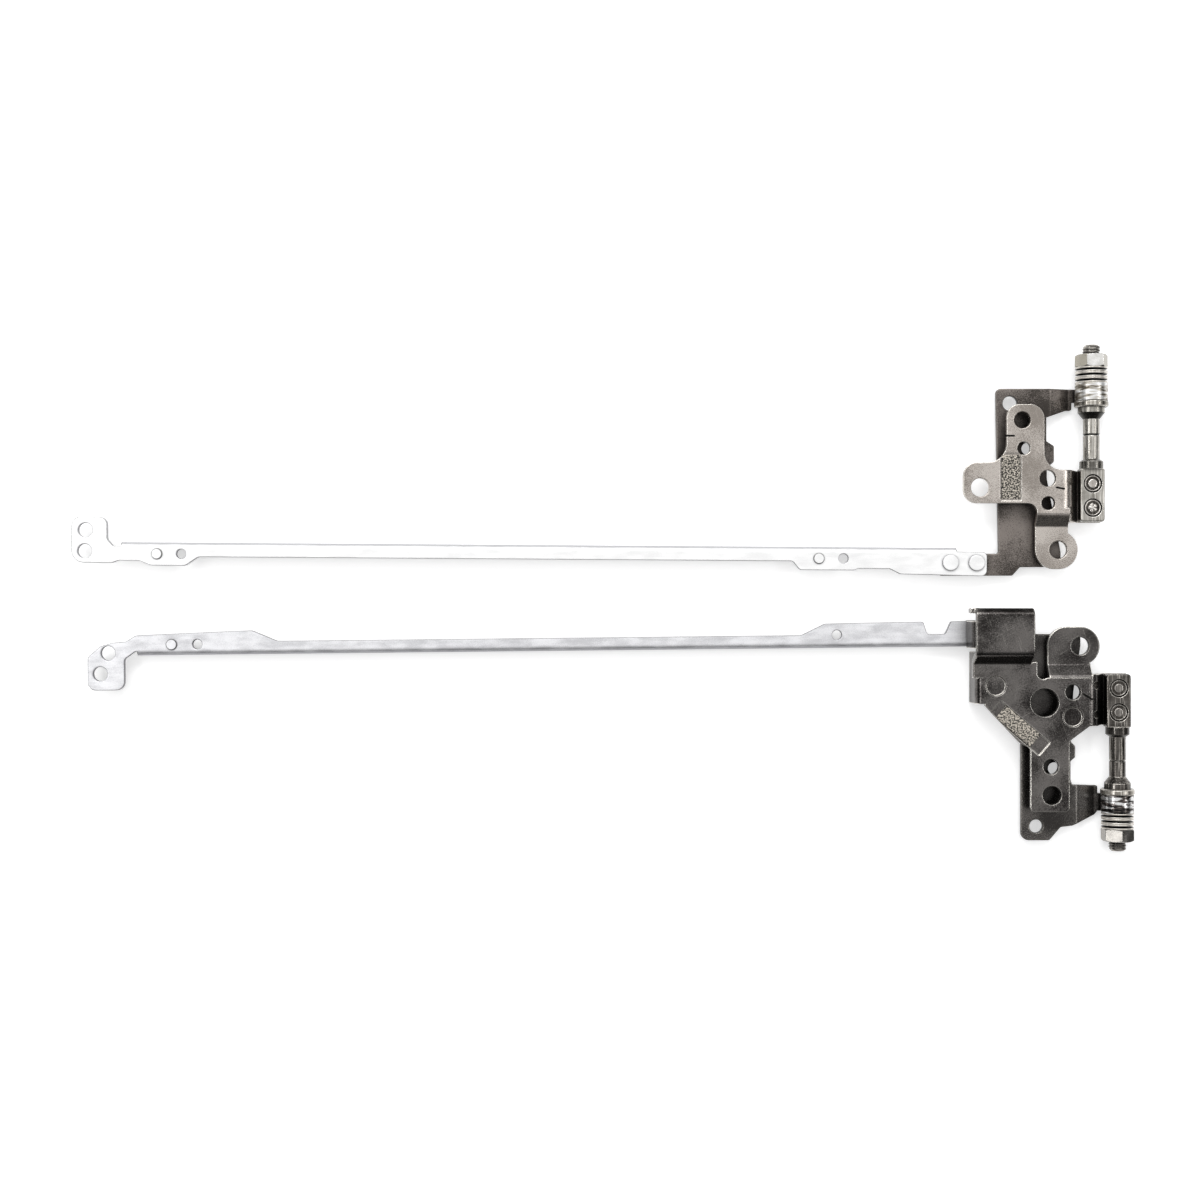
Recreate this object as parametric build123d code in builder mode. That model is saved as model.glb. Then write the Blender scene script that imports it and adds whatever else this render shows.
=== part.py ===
from build123d import *
from math import atan2, cos, radians, sin, tan
import os

# A pair of friction hinges for a laptop lid, left and right, lying closed side by side.
# Millimetres. X runs along the lid arms, with the shafts at the +X end. Y runs along the
# shafts, and +Z is up. The origin is at the middle of the pair's footprint, on the ground.
# Each hinge is drawn in its own frame: u along +X from its shaft axis, and v along its
# shaft, outwards, from the face where the stop washer meets the knuckle.

os.makedirs("parts", exist_ok=True)

# Pair: how far the right shaft stands beyond the left one, and half the distance
# between the two faces where a stop washer meets its knuckle
axis_stagger = 5.5
face_y = 41.4

# Sheet metal
display_sheet = 1.1
base_sheet = 1.1
arm_sheet = 1.0
bend_radius = 1.2
die_roll = 0.2

# Turned shaft, from its threaded tip inwards
thread_radius = 1.65
journal_radius = 2.2
tip_length = 2.05
tip_chamfer = 0.3
collar_radius = 2.75
collar_length = 1.2
cone_length = 1.35
neck_radius = 1.7
neck_length = 8.4
groove_offset = 3.2
groove_width = 0.3
groove_depth = 0.12
lower_collar_radius = 2.45
lower_collar_length = 2.1
lower_collar_chamfer = 0.5
block_width = 5.1
block_length = 11.1
block_thickness = 2.5
block_corner = 0.7
block_edge = 0.35

# Friction stack on the shaft
running_gap = 0.05
seat_gap = 0.02
knuckle_length = 3.7
curl_angle = 292
stop_washer_radius = 3.5
stop_washer_thickness = 1.25
spring_radius = 3.3
spring_thickness = 0.34
spring_pitch = 0.567
spring_count = 6
nut_across_flats = 6.0
nut_height = 2.65

# Rivets
block_rivet_radius = 1.2
block_rivet_offset = 3.05
block_rivet_margin = 2.95
counterbore_radius = 1.95
counterbore_depth = 0.7
tail_radius = 1.9
tail_height = 0.45
arm_rivet_radius = 1.1
arm_rivet_head_radius = 1.72
arm_rivet_head_height = 0.5
arm_rivet_spacing = 5.5

# Arms, drawn from their inner rivet: s runs along the arm, w outwards across it
arm_length = 190.6
right_arm_extra = 3.5
left_rivet_u = -24.2
left_rivet_v = -34.0
right_rivet_u = -22.8
right_rivet_v = -34.4
left_arm_turn = 0.4
right_arm_turn = 0.62
arm_flange_w = 3.15
arm_narrow_w = 0.1
arm_hole_w = 0.7
arm_stud_radius = 1.12
arm_stud_height = 0.35
arm_screw_radius = 1.0
lid_screw_radius = 1.5

# Heights of the leaves, measured from the shaft axis
display_drop = 0.75
base_rise = 1.75
ear_drop = 1.75
hood_rise = 3.2

# Sizes that follow from those above
knuckle_bore = journal_radius + running_gap
knuckle_radius = knuckle_bore + display_sheet
axis_height = stop_washer_radius
display_top = axis_height - display_drop
display_bottom = display_top - display_sheet
arm_bottom = display_top
arm_top = arm_bottom + arm_sheet
base_bottom = axis_height + base_rise
base_top = base_bottom + base_sheet
ear_bottom = base_bottom - ear_drop
tab_top = axis_height - block_thickness / 2
tab_bottom = tab_top - base_sheet
spring_stack = spring_count * spring_pitch
nut_start = knuckle_length + spring_stack
tip_end = nut_start + nut_height + tip_length
collar_start = -stop_washer_thickness
collar_end = collar_start - collar_length
neck_start = collar_end - cone_length
neck_end = neck_start - neck_length
block_start = neck_end - lower_collar_length
block_end = block_start - block_length
rivet_places = [
    block_start - block_rivet_offset,
    block_end + block_rivet_margin,
]
pair_length = arm_length - left_rivet_u + axis_stagger + stop_washer_radius
right_axis_x = pair_length / 2 - stop_washer_radius
left_axis_x = right_axis_x - axis_stagger


class Hinge:
    """The frame of one hinge: side is +1 on the left hinge and -1 on the right one."""

    def __init__(self, name, side, axis_x):
        self.name = name
        self.side = side
        self.axis_x = axis_x

    def point(self, u, v, height):
        return Vector(self.axis_x + u, self.side * (face_y + v), height)

    def level(self, height, u=0, v=0, turn=0):
        """Flat plane at a height, turned so that its -u end swings outwards by turn."""
        along = (cos(radians(turn)), -self.side * sin(radians(turn)), 0)
        return Plane(origin=self.point(u, v, height), x_dir=along, z_dir=(0, 0, self.side))

    def section(self, v):
        """Upright plane across the shaft at v, with its origin on the shaft axis."""
        return Plane(origin=self.point(0, v, axis_height), x_dir=(1, 0, 0), z_dir=(0, -1, 0))

    def lengthwise(self, u=0):
        """Upright plane along the shaft at u, x outwards and y upwards from the axis."""
        normal = (self.side, 0, 0)
        return Plane(origin=self.point(u, 0, axis_height), x_dir=(0, self.side, 0), z_dir=normal)

    def shaft_line(self):
        return Axis(self.point(0, 0, axis_height), (0, self.side, 0))

    def finish(self, builder, piece):
        builder.part.label = f"{self.name}_{piece}"
        export_step(builder.part, f"parts/{self.name}_{piece}.step")


left = Hinge("left", 1, left_axis_x)
right = Hinge("right", -1, right_axis_x)


def blank(hinge, plane, sheet, corners):
    """Flat sheet above a plane, from corners given as x, y and corner radius."""
    with BuildSketch(plane) as face:
        with BuildLine():
            FilletPolyline(
                [(x, y) for x, y, radius in corners],
                radius=[radius for x, y, radius in corners],
                close=True,
            )
        make_face()
    extrude(face.sketch, amount=hinge.side * sheet)


def round_hole(hinge, plane, radius, depth, places, mode=Mode.SUBTRACT):
    """Round holes or discs that go up from a plane by depth."""
    with BuildSketch(plane) as face:
        with Locations(*places):
            Circle(radius)
    extrude(face.sketch, amount=hinge.side * depth, mode=mode)


def bent_strip(plane, points, sheet, bend, width):
    """Strip of even thickness along a bent centre line, as wide as width."""
    with BuildSketch(plane) as face:
        with BuildLine() as path:
            FilletPolyline(points, radius=bend)
        trace(path.edges(), line_width=sheet)
    extrude(face.sketch, amount=width)


def roll_rims(builder, height, whole=False):
    """Round the rims that the punch rolls over in the flat top face at a height: those of
    its holes, or with whole set also its outline."""
    flats = builder.faces().filter_by_position(Axis.Z, height - seat_gap, height + seat_gap)
    flat = flats.sort_by(SortBy.AREA)[-1]
    rims = [edge for wire in flat.inner_wires() for edge in wire.edges()]
    if whole:
        rims += flat.outer_wire().edges()
    fillet(rims, die_roll)


def turned(hinge, half_profile):
    """Solid of revolution about the shaft, from points given as v and radius."""
    with BuildSketch(hinge.lengthwise()) as face:
        with BuildLine():
            Polyline(half_profile, close=True)
        make_face()
    revolve(face.sketch, axis=hinge.shaft_line())


def make_shaft(hinge):
    """One turned piece: thread, journal, collars and neck, with a flat riveted block."""
    with BuildPart() as shaft:
        groove = neck_start - groove_offset
        turned(hinge, [
            (tip_end, 0),
            (tip_end, thread_radius - tip_chamfer),
            (tip_end - tip_chamfer, thread_radius),
            (knuckle_length, thread_radius),
            (knuckle_length, journal_radius),
            (collar_start, journal_radius),
            (collar_start, collar_radius),
            (collar_end, collar_radius),
            (neck_start, neck_radius),
            (groove, neck_radius),
            (groove, neck_radius - groove_depth),
            (groove - groove_width, neck_radius - groove_depth),
            (groove - groove_width, neck_radius),
            (neck_end, neck_radius),
            (neck_end - lower_collar_chamfer, lower_collar_radius),
            (block_start, lower_collar_radius),
            (block_start, 0),
        ])
        with BuildSketch(hinge.level(tab_top)) as block:
            with BuildLine():
                FilletPolyline(
                    [
                        (-block_width / 2, block_start),
                        (block_width / 2, block_start),
                        (block_width / 2, block_end),
                        (-block_width / 2, block_end),
                    ],
                    radius=[0, 0, block_corner, block_corner],
                    close=True,
                )
            make_face()
        extrude(block.sketch, amount=hinge.side * block_thickness)
        end_top = hinge.point(0, block_end, axis_height + block_thickness / 2)
        rim = shaft.edges().filter_by_position(Axis.Z, end_top.Z - seat_gap, end_top.Z + seat_gap)
        end_and_sides = rim.sort_by_distance(end_top)[:5]
        fillet(end_and_sides, block_edge)
        places = [(0, v) for v in rivet_places]
        hole = block_rivet_radius + seat_gap
        round_hole(hinge, hinge.level(tab_top), hole, block_thickness, places)
        floor = hinge.level(tab_top + block_thickness - counterbore_depth)
        round_hole(hinge, floor, counterbore_radius, counterbore_depth, places)
    hinge.finish(shaft, "shaft")


def make_shaft_rivets(hinge):
    """Rivets through the block and the tab, their heads formed inside the counterbores."""
    shank_length = block_thickness - counterbore_depth + base_sheet
    for number, v in enumerate(rivet_places, start=1):
        with BuildPart() as rivet:
            centre = [(0, v)]
            low = hinge.level(tab_bottom)
            round_hole(hinge, low, block_rivet_radius, shank_length, centre, Mode.ADD)
            tail = hinge.level(tab_bottom - tail_height)
            round_hole(hinge, tail, tail_radius, tail_height, centre, Mode.ADD)
            head = hinge.level(tab_bottom + shank_length)
            head_radius = counterbore_radius - 4 * seat_gap
            round_hole(hinge, head, head_radius, counterbore_depth * 0.8, centre, Mode.ADD)
            fillet(rivet.edges().filter_by(GeomType.CIRCLE).group_by(Axis.Z)[-1], die_roll)
            fillet(rivet.edges().filter_by(GeomType.CIRCLE).group_by(Axis.Z)[0], die_roll)
        hinge.finish(rivet, f"shaft_rivet_{number}")


def make_stop_washer(hinge):
    """Hardened washer between the shaft's collar and the knuckle."""
    bore = journal_radius + seat_gap
    edge = stop_washer_radius - die_roll
    with BuildPart() as washer:
        turned(hinge, [
            (-running_gap / 2, bore),
            (-running_gap / 2, edge),
            (-running_gap / 2 - die_roll, stop_washer_radius),
            (collar_start + die_roll, stop_washer_radius),
            (collar_start, edge),
            (collar_start, bore),
        ])
    hinge.finish(washer, "stop_washer")


def make_disc_springs(hinge):
    """Cupped spring washers, turned about in pairs so that their rims touch."""
    bore = thread_radius + running_gap
    cup = spring_pitch - spring_thickness
    for number in range(spring_count):
        start = knuckle_length + number * spring_pitch
        rim = start + (cup if number % 2 else 0)
        eye = start + (0 if number % 2 else cup)
        with BuildPart() as spring:
            turned(hinge, [
                (eye, bore),
                (rim, spring_radius),
                (rim + spring_thickness, spring_radius),
                (eye + spring_thickness, bore),
            ])
        hinge.finish(spring, f"disc_spring_{number + 1}")


def make_nut(hinge, turn):
    """Hexagon nut that sets the friction, chamfered on both faces."""
    flat = nut_across_flats / 2
    corner = flat / cos(radians(30))
    chamfer_depth = (corner - flat) * tan(radians(30))
    with BuildPart() as nut:
        with BuildSketch(hinge.section(nut_start)):
            RegularPolygon(flat, 6, major_radius=False, rotation=turn)
            Circle(thread_radius + seat_gap, mode=Mode.SUBTRACT)
        extrude(amount=-hinge.side * nut_height)
        with BuildSketch(hinge.lengthwise()) as body:
            with BuildLine():
                Polyline(
                    (nut_start, 0),
                    (nut_start, flat),
                    (nut_start + chamfer_depth, corner),
                    (nut_start + nut_height - chamfer_depth, corner),
                    (nut_start + nut_height, flat),
                    (nut_start + nut_height, 0),
                    close=True,
                )
            make_face()
        revolve(body.sketch, axis=hinge.shaft_line(), mode=Mode.INTERSECT)
    hinge.finish(nut, "nut")


# Display bracket: a flat plate under the base leaf, whose strap drops and rolls round
# the shaft into the knuckle, with a tab that carries the arm.
strap_root = -9.2
strap_foot = -4.4
strap_inner = -1.7
strap_notch = -3.5
left_strap_root_inner = -3.3
right_strap_root_inner = -2.0
arm_seat_inner = -36.7
right_seat_end = -33.8
arm_seat_gap = 0.2
arm_seat_edge = arm_flange_w - arm_sheet - arm_seat_gap
left_seat_outer = left_rivet_v + arm_seat_edge
right_seat_outer = right_rivet_v + arm_seat_edge

left_display_outline = [
    (-19.9, 2.8, 1.0),
    (strap_root, 2.8, 0),
    (strap_root, -8.3, 0.4),
    (-7.6, -9.3, 0.6),
    (-7.6, -12.6, 0.6),
    (-9.1, -14.0, 0.6),
    (-9.1, -16.2, 3.0),
    (-6.2, -31.7, 1.0),
    (-6.2, -34.9, 0.8),
    (-14.8, -34.9, 0.5),
    (-16.4, arm_seat_inner, 0.5),
    (-32.2, arm_seat_inner, 1.0),
    (-32.2, left_seat_outer, 1.0),
    (-19.3, left_seat_outer, 0.5),
]
right_display_outline = [
    (-20.1, 9.8, 1.7),
    (-14.1, 9.8, 0.8),
    (-11.7, 7.0, 0.6),
    (strap_root, 6.7, 0),
    (strap_root, right_strap_root_inner, 0),
    (-9.6, -2.9, 0.8),
    (-9.6, -6.9, 0.4),
    (-8.6, -7.8, 0.6),
    (-8.6, -10.1, 0.6),
    (-9.5, -11.0, 0.5),
    (-9.0, -21.6, 3.0),
    (-7.5, -31.3, 1.0),
    (-7.5, right_seat_end, 1.0),
    (-17.4, right_seat_end, 0.6),
    (-17.4, arm_seat_inner, 1.0),
    (-32.2, arm_seat_inner, 1.0),
    (-32.2, right_seat_outer, 1.0),
    (-20.1, right_seat_outer, 0.5),
]


def make_display_bracket(hinge, outline, root_edges, strap_outer_foot, holes, rivet, turn):
    """Stamped plate, strap and knuckle, folded from one sheet."""
    strap_root_inner, strap_outer_root = root_edges
    curl = knuckle_radius - display_sheet / 2
    strap_level = axis_height - curl
    plate_level = display_top - display_sheet / 2
    with BuildPart() as bracket:
        span = strap_outer_root - strap_root_inner
        bent_strip(
            hinge.section(strap_root_inner),
            [
                (strap_root - die_roll, plate_level - axis_height),
                (strap_root + bend_radius / 2, plate_level - axis_height),
                (strap_foot, strap_level - axis_height),
                (0, strap_level - axis_height),
            ],
            display_sheet,
            bend_radius,
            -hinge.side * span,
        )
        with BuildSketch(hinge.level(0)) as strap:
            with BuildLine():
                FilletPolyline(
                    [
                        (strap_root - die_roll, strap_root_inner),
                        (strap_root, strap_root_inner),
                        (strap_notch - 1.2, strap_inner),
                        (strap_notch, strap_inner),
                        (strap_notch, 0),
                        (0, 0),
                        (0, knuckle_length),
                        (strap_notch, knuckle_length),
                        (strap_notch - 0.6, strap_outer_foot),
                        (strap_root, strap_outer_root),
                        (strap_root - die_roll, strap_outer_root),
                    ],
                    radius=[0, 0, 0.6, 0.4, 0, 0, 0, 0, 0.3, 0, 0],
                    close=True,
                )
            make_face()
        extrude(strap.sketch, amount=hinge.side * axis_height, mode=Mode.INTERSECT)
        blank(hinge, hinge.level(display_bottom), display_sheet, outline)
        with BuildSketch(hinge.section(0)) as knuckle:
            with BuildLine() as roll:
                CenterArc((0, 0), curl, -90, curl_angle)
            trace(roll.edges(), line_width=display_sheet)
        extrude(knuckle.sketch, amount=-hinge.side * knuckle_length)
        for u, v, radius in holes:
            round_hole(hinge, hinge.level(display_bottom), radius, display_sheet, [(u, v)])
        roll_rims(bracket, display_top, whole=True)
        seat = hinge.level(display_bottom, rivet[0], rivet[1], turn)
        seats = [(0, 0), (-arm_rivet_spacing, 0)]
        round_hole(hinge, seat, arm_rivet_radius + seat_gap, display_sheet, seats)
    hinge.finish(bracket, "display_bracket")


left_display_holes = [(-16.9, -0.3, 1.54), (-13.2, -9.9, 1.27)]
right_display_holes = [(-16.9, 6.8, 1.4), (-13.1, -5.4, 1.27)]

# Arms: zinc-coated strips that run the height of the lid, stiffened by a flange bent down
# along the outer edge. The corners are given as s, w and corner radius.
arm_end = 2.2
flange_root = arm_flange_w - bend_radius
left_far = -arm_length
right_far = -arm_length - right_arm_extra
left_flange = (left_far + 10.4, -4.2)
right_flange = (right_far + 10.4, -7.5)
left_far_pad = left_far + 24.0
right_far_pad = right_far + 34.6
far_slope = 2.7

left_arm_outline = [
    (left_far, 8.4, 1.9),
    (left_far + 7.5, 8.4, 1.7),
    (left_far + 7.5, 3.75, 1.0),
    (left_far + 8.8, 2.3, 0.5),
    (left_flange[0], 2.3, 0),
    (left_flange[0], flange_root, 0),
    (left_flange[1], flange_root, 0),
    (left_flange[1], 2.3, 0),
    (arm_end, 2.3, 1.0),
    (arm_end, -2.8, 1.2),
    (-16.0, -2.5, 1.0),
    (-18.2, -1.4, 1.0),
    (-25.0, -1.4, 0.5),
    (-25.6, -1.75, 0.5),
    (-37.2, -1.75, 1.0),
    (-38.7, arm_narrow_w, 1.0),
    (left_far_pad + far_slope, arm_narrow_w, 1.5),
    (left_far_pad, -1.75, 1.5),
    (left_far + 16.7, -1.75, 1.5),
    (left_far + 14.2, -0.75, 1.5),
    (left_far + 9.9, -0.75, 1.0),
    (left_far + 8.6, -1.25, 1.0),
    (left_far, -1.25, 2.6),
]
right_arm_outline = [
    (right_far, 10.4, 1.7),
    (right_far + 7.7, 10.4, 1.7),
    (right_far + 7.7, 3.9, 1.0),
    (right_far + 10.0, 2.3, 0.3),
    (right_flange[0], 2.3, 0),
    (right_flange[0], flange_root, 0),
    (right_flange[1], flange_root, 0),
    (right_flange[1], 2.3, 0),
    (arm_end, 2.3, 1.0),
    (arm_end, -2.2, 1.2),
    (-12.3, -2.2, 0.5),
    (-13.5, 0.5, 0.8),
    (-17.3, 0.5, 0.8),
    (-18.1, -2.2, 0.5),
    (-38.8, -2.0, 1.5),
    (-43.8, arm_narrow_w + 0.3, 1.5),
    (right_far_pad + 2 * far_slope, arm_narrow_w + 0.3, 1.5),
    (right_far_pad, -1.9, 1.5),
    (right_far + 10.2, -1.1, 1.5),
    (right_far + 8.1, 0.2, 1.0),
    (right_far + 5.3, 0.4, 1.5),
    (right_far + 2.7, 1.1, 1.5),
    (right_far, 3.4, 1.2),
]
left_lid_screws = [(left_far + 2.9, 5.6), (left_far + 2.8, 1.2)]
right_lid_screws = [(right_far + 4.3, 2.6), (right_far + 2.6, 6.95)]
left_panel_holes = [(left_far + 23.1, arm_hole_w), (-28.0, arm_hole_w)]
right_panel_holes = [(right_far + 23.1, arm_hole_w + 0.2), (-36.3, arm_hole_w - 0.3)]
left_studs = [(left_far + 18.0, arm_hole_w), (-33.2, arm_hole_w)]
right_studs = [(right_far + 17.7, arm_hole_w + 0.2)]


def make_arm(hinge, rivet, turn, outline, flange, lid_screws, panel_holes, studs):
    """Strip with its flange, far screw tab, panel screw holes and half-punched studs."""
    u, v = rivet
    start, end = flange
    side = hinge.side
    plane = hinge.level(arm_bottom, u, v, turn)
    profile = Plane(
        origin=plane.from_local_coords((start, 0, 0)),
        x_dir=plane.y_dir,
        z_dir=plane.x_dir,
    )
    wall = arm_flange_w - arm_sheet / 2
    middle = arm_sheet / 2
    with BuildPart() as arm:
        blank(hinge, plane, arm_sheet, outline)
        bent_strip(
            profile,
            [(0.5, side * middle), (wall, side * middle), (wall, -side * arm_bottom)],
            arm_sheet,
            bend_radius - middle,
            end - start,
        )
        round_hole(hinge, plane, lid_screw_radius, arm_sheet, lid_screws)
        round_hole(hinge, plane, arm_screw_radius, arm_sheet, panel_holes)
        roll_rims(arm, arm_top)
        round_hole(hinge, plane, arm_stud_radius, arm_stud_height, studs)
        stud = hinge.level(arm_top, u, v, turn)
        top_radius = arm_stud_radius - seat_gap
        round_hole(hinge, stud, top_radius, arm_stud_height, studs, Mode.ADD)
        seats = [(0, 0), (-arm_rivet_spacing, 0)]
        round_hole(hinge, plane, arm_rivet_radius + seat_gap, arm_sheet, seats)
    hinge.finish(arm, "arm")


def make_arm_rivets(hinge, rivet, turn):
    """Flat-headed rivets that join the arm to the display bracket's tab."""
    u, v = rivet
    shank = display_sheet + arm_sheet
    for number, s in enumerate((0, -arm_rivet_spacing), start=1):
        place = [(s, 0)]
        with BuildPart() as rivet_part:
            low = hinge.level(display_bottom, u, v, turn)
            round_hole(hinge, low, arm_rivet_radius, shank, place, Mode.ADD)
            head = hinge.level(arm_top, u, v, turn)
            height = arm_rivet_head_height
            round_hole(hinge, head, arm_rivet_head_radius, height, place, Mode.ADD)
            tail = hinge.level(display_bottom - tail_height, u, v, turn)
            round_hole(hinge, tail, arm_rivet_head_radius, tail_height, place, Mode.ADD)
            rims = rivet_part.edges().filter_by(GeomType.CIRCLE).group_by(Axis.Z)
            fillet(rims[-1], die_roll)
            fillet(rims[0], die_roll)
        hinge.finish(rivet_part, f"arm_rivet_{number}")


# Base brackets: stamped plates that screw to the bottom case. The plate steps down to a
# tab under the shaft's block and to a lowered screw ear.
tab_edge = block_width / 2 - 0.3
tab_foot = -block_width / 2 - 0.55
tab_bend = tab_foot - 2.4
riser_bend = 2.2
foot_bend = 0.9
tab_near = block_start - 0.3
tab_far = block_end - 0.1
plate_middle = base_rise + base_sheet / 2
tab_middle = -block_thickness / 2 - base_sheet / 2
ear_middle = plate_middle - ear_drop
ear_radius = 4.05
ear_u = -7.2
ear_v = -31.3
ear_step_start = -23.7
ear_step_end = -26.3
dent_radius = 1.3
dent_depth = 0.3
dent_inset = 2.4
dent_reach = 2.2
pocket_depth = 0.25
pad_thickness = 0.4
pad_radius = 0.3

left_neck_left = -12.05
left_neck_right = -5.2
riser_start = tab_bend - riser_bend / 2
left_base_outline = [
    (-18.4, -0.9, 2.6),
    (-10.6, -0.9, 3.0),
    (-10.6, tab_near, 3.6),
    (riser_start, tab_near, 0),
    (riser_start, ear_step_start, 0),
    (left_neck_left, ear_step_start, 0),
    (left_neck_left, -21.6, 2.0),
    (-27.5, -21.6, 2.8),
    (-27.5, -13.1, 2.8),
    (-18.4, -13.1, 4.0),
]

# Left base bracket
left_base_holes = [
    (-24.0, -18.3, 1.92),
    (-15.2, -4.2, 1.7),
    (-14.9, -10.1, 1.41),
    (-9.9, -16.4, 1.7),
    (-9.8, -21.6, 1.38),
]
ear_screw_radius = 1.83
left_pad_centre = (-17.6, -16.1)
left_pad_length = 9.2
left_pad_width = 4.0
left_pocket_length = 10.0
left_pocket_width = 4.4

# Right base bracket
right_ear_u = -8.1
right_lobe_u = -11.0
right_neck_left = -15.0
right_neck_right = -6.0
right_ear_step = -24.7
plate_left = -29.7
slot_u = -16.35
slot_width = 2.4
slot_bite = 0.3
hood_left = -31.0
hood_right = -18.8
hood_lug = 1.0
hood_step = -28.0
hood_far = -39.3
hood_skirt = arm_top + 0.35
hood_wall_near = -30.9
hood_wall_far = -36.6
flange_near = -19.2
flange_far = -30.1
flange_foot = 0.9
flange_lean = 0.4
recess_depth = 0.4
right_pad_length = 9.5
right_pad_width = 3.4
right_pad_centre = (-21.6, -14.6)
right_pocket_centre = (-21.2, -14.2)
right_pocket_length = 13.6
right_pocket_width = 3.6
pad_turn = 40.7
right_base_holes = [
    (-16.0, -19.5, 2.88),
    (-10.1, -21.7, 1.53),
    (-14.7, -6.1, 1.53),
    (-14.5, -0.1, 1.88),
]
right_recesses = [(-26.2, -23.0, 2.05), (-10.1, -16.5, 2.0)]
flange_start = plate_left + bend_radius
right_base_outline = [
    (-19.0, 3.4, 1.0),
    (-10.8, 3.4, 1.0),
    (-10.8, -11.5, 1.5),
    (riser_start, tab_near, 0.4),
    (riser_start, right_ear_step, 0),
    (slot_u, right_ear_step, 0),
    (slot_u, hood_step, 0),
    (flange_start, hood_step, 0),
    (flange_start, flange_near + 0.4, 0.4),
    (-21.4, -11.2, 0.8),
    (-19.0, -9.9, 0.8),
]


def add_tab(hinge, neck_right, step_start):
    """Riser and tab that carry the shaft's block, with two dents pressed into the bend."""
    bent_strip(
        hinge.section(tab_far),
        [
            (tab_bend - riser_bend, plate_middle),
            (tab_bend, plate_middle),
            (tab_foot, tab_middle),
            (tab_edge, tab_middle),
        ],
        base_sheet,
        [riser_bend, foot_bend],
        -hinge.side * (tab_near - tab_far),
    )
    with BuildSketch(hinge.level(tab_bottom)) as relief:
        with Locations((neck_right, step_start - seat_gap)):
            Rectangle(riser_bend * 3, tab_near - tab_far, align=(Align.MAX, Align.MAX))
    extrude(relief.sketch, amount=hinge.side * axis_height * 2, mode=Mode.SUBTRACT)
    lean = atan2(plate_middle - tab_middle, tab_foot - tab_bend)
    bend_centre_u = tab_bend - riser_bend * tan(lean / 2)
    crown = (riser_bend + base_sheet / 2 + dent_radius - dent_depth) * sin(radians(45))
    for place in (tab_near - dent_inset, tab_far + dent_inset):
        height = axis_height + plate_middle - riser_bend + crown
        dent = Plane(
            origin=hinge.point(bend_centre_u + crown, place, height),
            x_dir=(0, 1, 0),
            z_dir=(1, 0, -1),
        )
        with BuildSketch(dent) as groove:
            Circle(dent_radius)
        extrude(groove.sketch, amount=dent_reach, both=True, mode=Mode.SUBTRACT)


def add_step(hinge, left_edge, right_edge, start, end, start_middle, end_middle):
    """Strip that steps from one height to another along the shaft's direction."""
    bent_strip(
        hinge.lengthwise(left_edge),
        [
            (start + base_sheet, start_middle),
            (start, start_middle),
            (end, end_middle),
            (end - base_sheet, end_middle),
        ],
        base_sheet,
        bend_radius,
        hinge.side * (right_edge - left_edge),
    )


def add_ear(hinge, screw_u, lobe_u, neck, step_end):
    """Lowered screw ear: a round end, widened by a second lobe, on a straight neck."""
    left_edge, right_edge = neck
    with BuildSketch(hinge.level(ear_bottom)) as ear:
        with Locations((screw_u, ear_v), (lobe_u, ear_v)):
            Circle(ear_radius)
        make_hull()
        with Locations((left_edge, ear_v)):
            Rectangle(
                right_edge - left_edge,
                step_end - base_sheet - ear_v,
                align=(Align.MIN, Align.MIN),
            )
    extrude(ear.sketch, amount=hinge.side * base_sheet)


def cut_rivet_seats(hinge):
    """Holes in the tab for the two rivets of the block."""
    places = [(0, v) for v in rivet_places]
    round_hole(hinge, hinge.level(tab_bottom), block_rivet_radius + seat_gap, base_sheet, places)


def coin_pocket(hinge, centre, length, width, turn):
    """Shallow coined pocket in the top of the plate, for the ground pad."""
    with BuildSketch(hinge.level(base_top - pocket_depth)) as pocket:
        with Locations(centre):
            RectangleRounded(length, width, pad_radius, rotation=turn)
    extrude(pocket.sketch, amount=hinge.side * pocket_depth, mode=Mode.SUBTRACT)


def make_ground_pad(hinge, centre, length, width, turn):
    """Conductive pad stuck in the coined pocket."""
    with BuildPart() as pad:
        with BuildSketch(hinge.level(base_top - pocket_depth)) as sheet:
            with Locations(centre):
                RectangleRounded(length, width, pad_radius, rotation=turn)
        extrude(sheet.sketch, amount=hinge.side * pad_thickness)
    hinge.finish(pad, "ground_pad")


def drill(hinge, bottom, holes):
    """Round holes through the sheet, given as u, v and radius."""
    for u, v, radius in holes:
        round_hole(hinge, hinge.level(bottom), radius, base_sheet, [(u, v)])


def make_left_base_bracket(hinge):
    """Plate with a screw ear at its left and a lowered ear at its inner end."""
    with BuildPart() as bracket:
        add_tab(hinge, left_neck_right, ear_step_start)
        blank(hinge, hinge.level(base_bottom), base_sheet, left_base_outline)
        add_step(
            hinge, left_neck_left, left_neck_right,
            ear_step_start, ear_step_end, plate_middle, ear_middle,
        )
        lobe_u = left_neck_left + ear_radius
        add_ear(hinge, ear_u, lobe_u, (left_neck_left, left_neck_right), ear_step_end)
        coin_pocket(hinge, left_pad_centre, left_pocket_length, left_pocket_width, 90)
        drill(hinge, base_bottom, left_base_holes)
        roll_rims(bracket, base_top)
        drill(hinge, ear_bottom, [(ear_u, ear_v, ear_screw_radius)])
        roll_rims(bracket, ear_bottom + base_sheet)
        cut_rivet_seats(hinge)
    hinge.finish(bracket, "base_bracket")


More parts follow.
